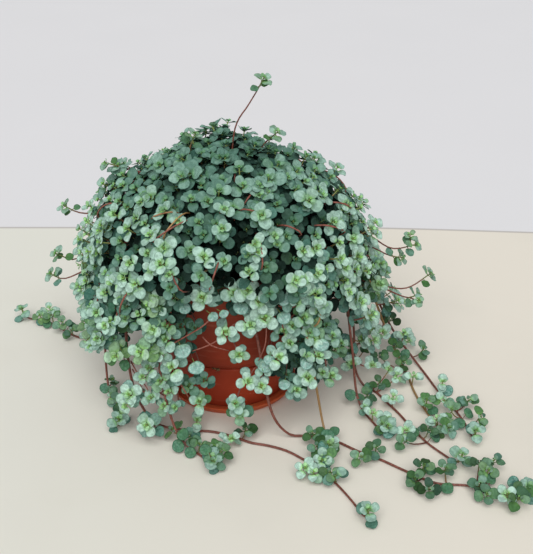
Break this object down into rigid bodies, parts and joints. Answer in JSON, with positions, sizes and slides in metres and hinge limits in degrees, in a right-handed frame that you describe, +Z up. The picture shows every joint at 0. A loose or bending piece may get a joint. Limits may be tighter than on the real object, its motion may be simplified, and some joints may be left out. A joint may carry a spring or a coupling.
{
  "type": "potted trailing pilea plant",
  "caption": "Round-leaved creeping houseplant in a tapered terracotta-coloured pot and saucer: a domed leafy crown, shoots hanging over the rim and stems trailing along the surface.",
  "frame": {"origin": "centre of the saucer's flat underside, on the surface that the plant stands on", "axes": "+Z up along the pot's axis; -Y towards the front, where the foliage parts over the pot; +X to the right seen from the front, where the long stems trail"},
  "size_m": [0.4628, 0.3932, 0.2833],
  "materials": {
    "pot": "satin terracotta-coloured plastic",
    "saucer": "satin terracotta-coloured plastic",
    "soil": "damp crumbly compost",
    "foliage": "dull silvery blue-green leaves on reddish-brown stems"
  },
  "bodies": {
    "root": {"pot": "pot", "saucer": "saucer", "soil": "soil", "crown": "foliage", "hanging_stem_01": "foliage", "hanging_stem_02": "foliage", "hanging_stem_03": "foliage", "hanging_stem_04": "foliage", "hanging_stem_05": "foliage", "hanging_stem_06": "foliage", "hanging_stem_07": "foliage", "hanging_stem_08": "foliage", "hanging_stem_09": "foliage", "hanging_stem_10": "foliage", "hanging_stem_11": "foliage", "hanging_stem_12": "foliage", "hanging_stem_13": "foliage", "trailing_stem_01": "foliage", "trailing_stem_02": "foliage", "trailing_stem_03": "foliage", "trailing_stem_04": "foliage", "trailing_stem_05": "foliage", "trailing_stem_06": "foliage", "trailing_stem_07": "foliage", "trailing_stem_08": "foliage", "trailing_stem_09": "foliage", "trailing_stem_10": "foliage", "trailing_stem_11": "foliage", "trailing_stem_12": "foliage"}
  },
  "joints": []
}
